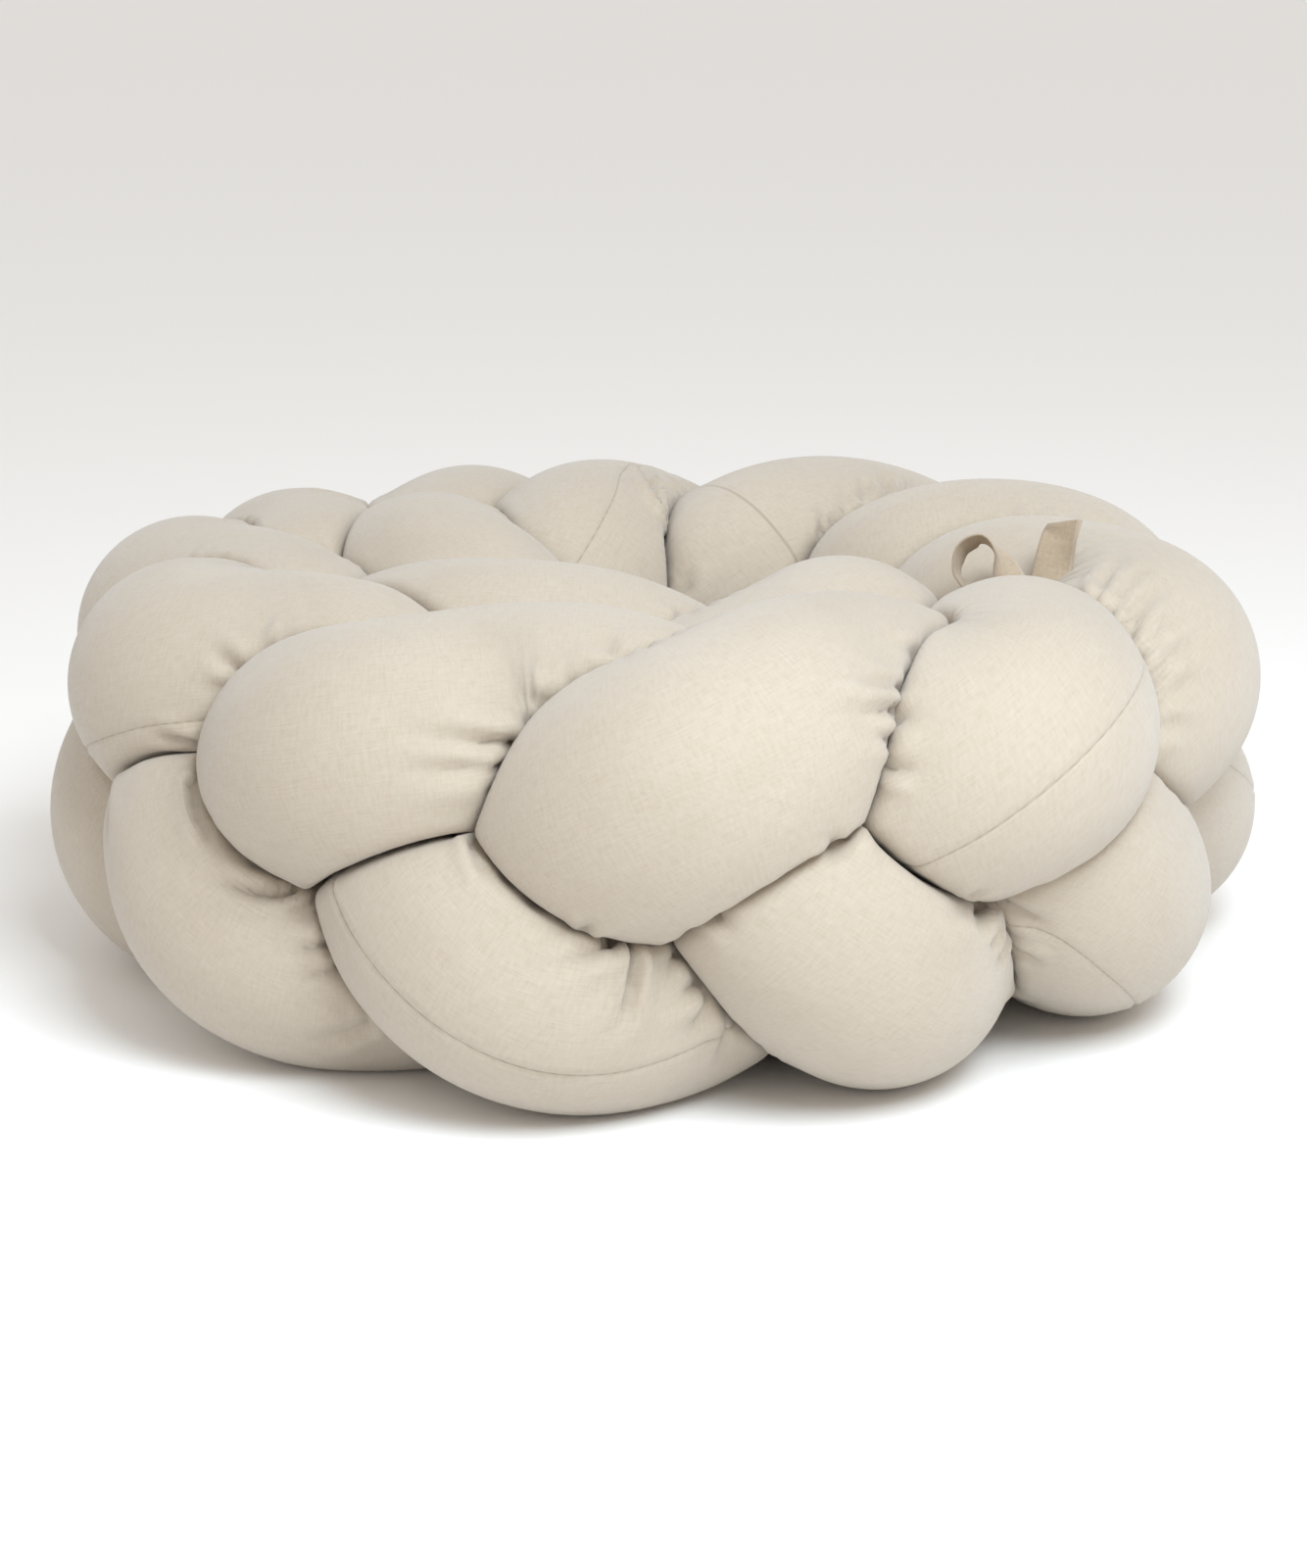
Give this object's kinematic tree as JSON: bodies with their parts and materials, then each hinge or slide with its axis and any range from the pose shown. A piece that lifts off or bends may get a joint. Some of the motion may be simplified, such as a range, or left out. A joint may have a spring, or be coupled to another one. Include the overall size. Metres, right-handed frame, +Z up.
{
  "type": "braided crib bumper",
  "caption": "Stuffed cotton tubes plaited and wound into a low round nest around an open middle, with a looped tie and a straight tie at the inner end.",
  "frame": {"origin": "on the floor under the middle of the overall box", "axes": "+Z up, the front of the picture faces -Y"},
  "size_m": [0.5062, 0.4908, 0.1925],
  "materials": {
    "cotton": "matt sand-coloured cotton percale with fine wrinkles",
    "tape": "matt folded cotton tape, stitched along one edge"
  },
  "bodies": {
    "root": {"strand_one": "cotton", "strand_two": "cotton", "strand_three": "cotton", "tie_loop": "tape", "tie_end": "tape"}
  },
  "joints": []
}
